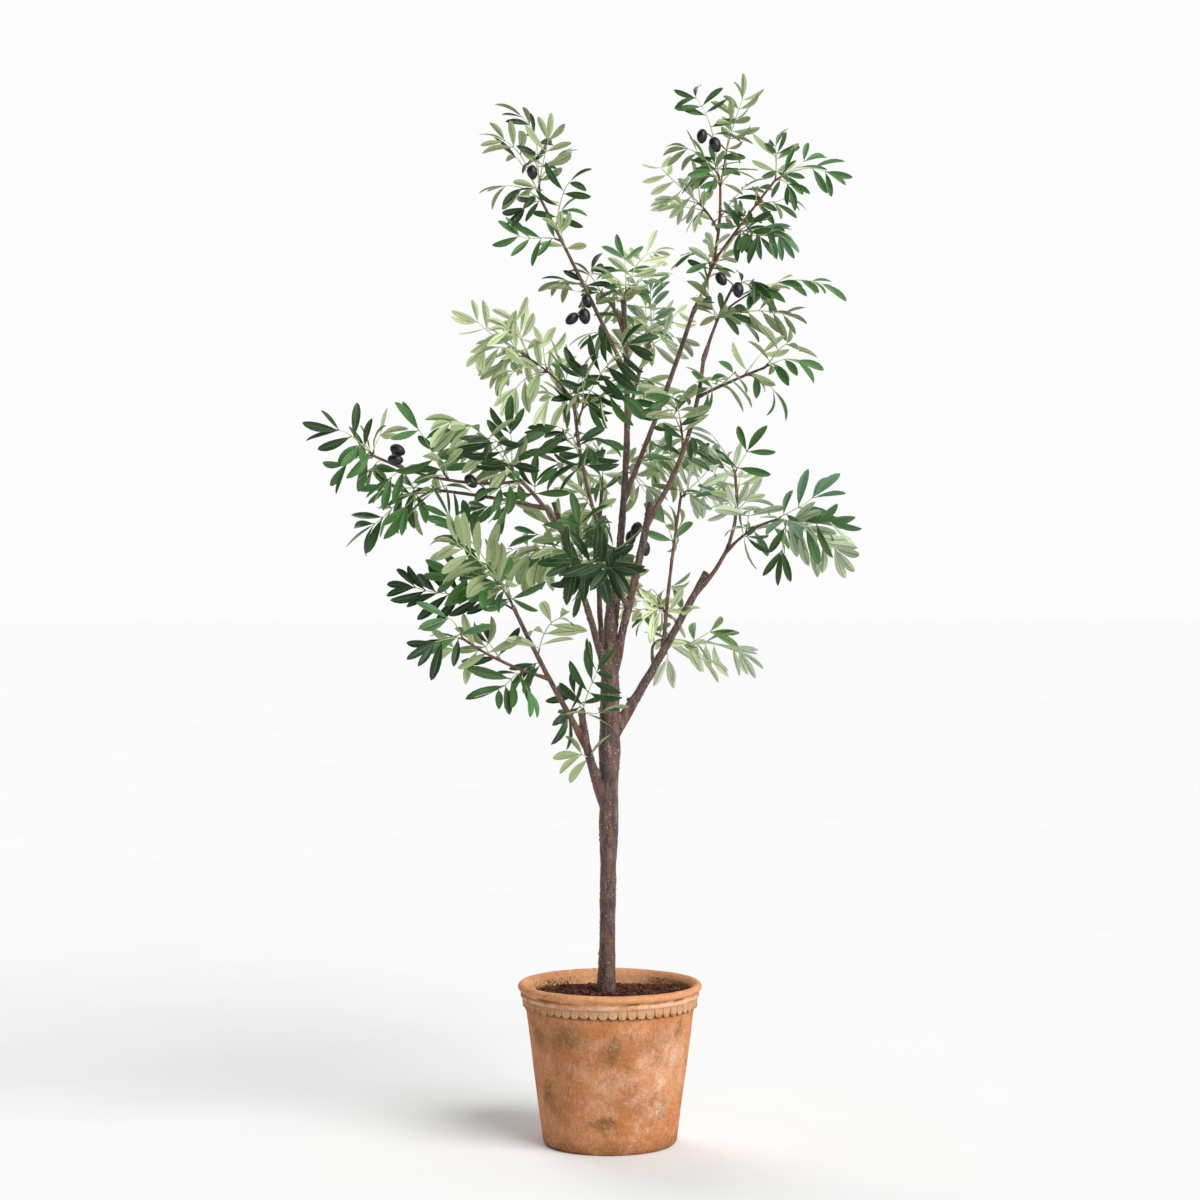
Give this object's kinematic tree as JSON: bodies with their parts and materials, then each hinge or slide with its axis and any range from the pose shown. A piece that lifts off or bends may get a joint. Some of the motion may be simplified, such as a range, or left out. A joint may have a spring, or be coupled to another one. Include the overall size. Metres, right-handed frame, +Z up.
{
  "type": "artificial potted olive tree",
  "caption": "Tall artificial olive tree with a slim trunk, upswept boughs and loose masses of leaves, set in a tapered terracotta pot with a rolled rim and a scalloped band.",
  "frame": {"origin": "the centre of the pot's flat underside, on the surface it stands on", "axes": "+Z up along the trunk; +Y away from the side with the low bough on the left; +X to the right of that side"},
  "size_m": [1.0615, 0.6956, 2.1352],
  "materials": {
    "terracotta": "aged unglazed terracotta with pale bloom and dark smudges",
    "potting_soil": "dark shredded bark on a weighted filler",
    "bark": "moulded red-brown bark with pale flecks",
    "leaf_dark": "dark green upper sides of the leaves",
    "leaf_pale": "pale sage undersides of the leaves",
    "leaf_stem": "pale green leaf stems",
    "olive": "black olives with a soft shine"
  },
  "bodies": {
    "root": {"pot": "terracotta", "potting_soil": "potting_soil", "trunk": "bark", "leader": "bark", "low_left_stub": "bark", "low_left_bough": "bark", "low_left_side": "bark", "left_bough": "bark", "left_front_bough": "bark", "far_left_bough": "bark", "left_far_bough": "bark", "centre_right_bough": "bark", "centre_right_upper": "bark", "right_crown_bough": "bark", "upper_right_side": "bark", "leader_right": "bark", "top_stem": "bark", "top_right_stem": "bark", "upper_left_bough": "bark", "spur_bough": "bark", "inner_left_bough": "bark", "right_bough": "bark", "right_upper_bough": "bark", "right_outer_bough": "bark", "right_back_bough": "bark", "low_back_bough": "bark", "back_bough": "bark", "high_back_bough": "bark", "upper_left_tip": "leaf_dark", "upper_left_mid": "leaf_dark", "upper_left_inner": "leaf_dark", "upper_centre": "leaf_pale", "top_tip": "leaf_dark", "top_left_pale": "leaf_pale", "top_right_outer": "leaf_dark", "top_right_inner": "leaf_dark", "upper_right_mid": "leaf_dark", "right_upper_outer": "leaf_dark", "right_mid_upper": "leaf_dark", "centre_right_front": "leaf_dark", "centre_left_front": "leaf_dark", "mid_left_top": "leaf_pale", "mid_left": "leaf_dark", "left_upper": "leaf_dark", "far_left_upper": "leaf_dark", "far_left_lower": "leaf_dark", "left_mid": "leaf_dark", "left_lower": "leaf_dark", "low_left_tip": "leaf_dark", "low_left_mid": "leaf_dark", "low_left_inner": "leaf_dark", "front_cluster": "leaf_dark", "right_centre": "leaf_dark", "right_outer": "leaf_dark", "right_inner": "leaf_pale", "low_right_back": "leaf_pale", "low_back": "leaf_pale", "back_left": "leaf_pale", "back_right": "leaf_pale", "back_upper": "leaf_pale"}
  },
  "joints": []
}
